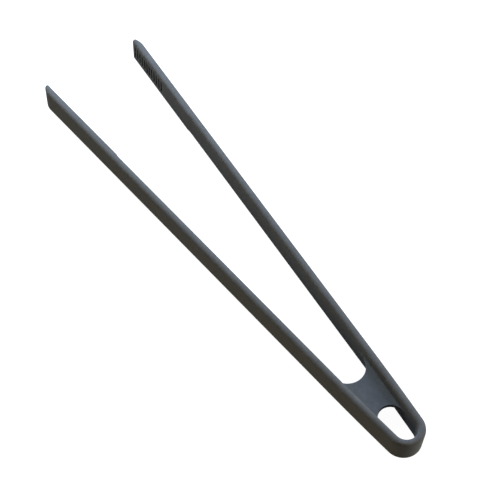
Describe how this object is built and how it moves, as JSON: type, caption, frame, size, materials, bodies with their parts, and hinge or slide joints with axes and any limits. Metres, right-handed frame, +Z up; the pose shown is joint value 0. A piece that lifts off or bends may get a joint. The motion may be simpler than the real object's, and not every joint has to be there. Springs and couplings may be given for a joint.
{
  "type": "spring tongs",
  "caption": "Slim springy kitchen tongs with two long flat arms, a looped end with a bridge web, and grooved grip pads inside the tips.",
  "frame": {"origin": "under the middle of the object's box, on the surface that the tongs lie on", "axes": "+Y from the closed bow to the open tips, +X across the jaws, +Z up along the height of the strip"},
  "size_m": [0.0644, 0.29, 0.016],
  "materials": {
    "nylon": "dark slate grey reinforced nylon, fine matt mould texture"
  },
  "bodies": {
    "head": {"bow": "nylon", "bridge_web": "nylon", "left_shank": "nylon", "right_shank": "nylon", "left_spring_leaf": "nylon", "right_spring_leaf": "nylon"},
    "left_jaw": {"left_arm": "nylon", "left_grip_pad": "nylon"},
    "right_jaw": {"right_arm": "nylon", "right_grip_pad": "nylon"}
  },
  "joints": [
    {"name": "left_squeeze", "type": "hinge", "parent": "head", "child": "left_jaw", "pos_m": [-0.01507, -0.05438, 0.008], "axis": [0, 0, -1], "range_deg": [0, 8.1], "stiffness_Nm_per_rad": 3.2, "deforming": ["left_spring_leaf"]},
    {"name": "right_squeeze", "type": "hinge", "parent": "head", "child": "right_jaw", "pos_m": [0.01507, -0.05438, 0.008], "axis": [0, 0, 1], "range_deg": [0, 8.1], "stiffness_Nm_per_rad": 3.2, "deforming": ["right_spring_leaf"]}
  ],
  "couplings": [
    {"joint": "right_squeeze", "follows": "left_squeeze", "ratio": 1}
  ]
}
